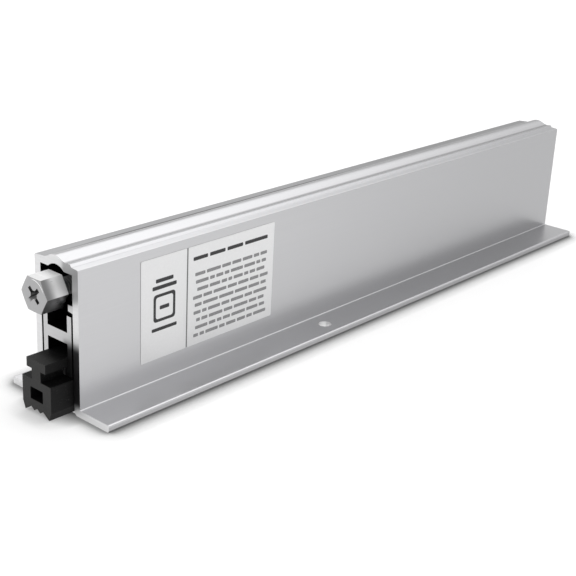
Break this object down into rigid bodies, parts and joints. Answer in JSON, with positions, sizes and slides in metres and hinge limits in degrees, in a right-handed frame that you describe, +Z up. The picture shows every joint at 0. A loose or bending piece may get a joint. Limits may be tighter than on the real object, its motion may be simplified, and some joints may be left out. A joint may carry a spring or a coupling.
{
  "type": "automatic door bottom seal",
  "caption": "Mortised automatic door bottom: aluminium housing with flanges, a drop bar with a black rubber seal, and a hex plunger that drives it down.",
  "frame": {"origin": "middle of the overall length and width, on the underside of the flanges", "axes": "+X along the door away from the plunger, +Y towards the wall without the label, +Z up into the door"},
  "size_m": [0.201, 0.0332, 0.0353],
  "materials": {
    "anodised_aluminium": "satin",
    "label_foil": "satin",
    "seal_rubber": "matte",
    "plunger_steel": "satin",
    "plated_steel": "satin",
    "spring_steel": "polished",
    "guide_nylon": "matte"
  },
  "bodies": {
    "housing": {"housing": "anodised_aluminium", "label": "label_foil", "guide_block_front": "guide_nylon", "guide_block_rear": "guide_nylon", "guide_screws_front": "plated_steel", "guide_screws_rear": "plated_steel", "return_spring": "spring_steel"},
    "slide_carriage": {"adjuster_block": "guide_nylon", "adjuster_rivets": "plated_steel", "slide_bar": "plated_steel", "spring_washer": "plated_steel", "stop_pin": "plunger_steel"},
    "plunger": {"plunger": "plunger_steel"},
    "drop_assembly": {"drop_bar": "anodised_aluminium", "seal": "seal_rubber", "lift_bracket_front": "plated_steel", "lift_bracket_rear": "plated_steel", "bracket_rivets_front": "plated_steel", "bracket_rivets_rear": "plated_steel", "lift_pin_front": "plunger_steel", "lift_pin_rear": "plunger_steel", "pin_clip_front": "spring_steel", "pin_clip_rear": "spring_steel"}
  },
  "joints": [
    {"name": "plunger_push", "type": "slide", "parent": "housing", "child": "slide_carriage", "axis": [1, 0, 0], "range_m": [0, 0.0055], "stiffness_N_per_m": 900, "springref_m": -0.008, "deforming": ["return_spring"]},
    {"name": "plunger_adjust", "type": "hinge", "parent": "slide_carriage", "child": "plunger", "pos_m": [-0.1004, 0, 0.02785], "axis": [1, 0, 0], "range_deg": [-720, 720]},
    {"name": "seal_drop", "type": "slide", "parent": "housing", "child": "drop_assembly", "axis": [0, 0, -1], "range_m": [0, 0.0065]}
  ],
  "couplings": [
    {"joint": "seal_drop", "follows": "plunger_push", "ratio": 1.1818}
  ]
}
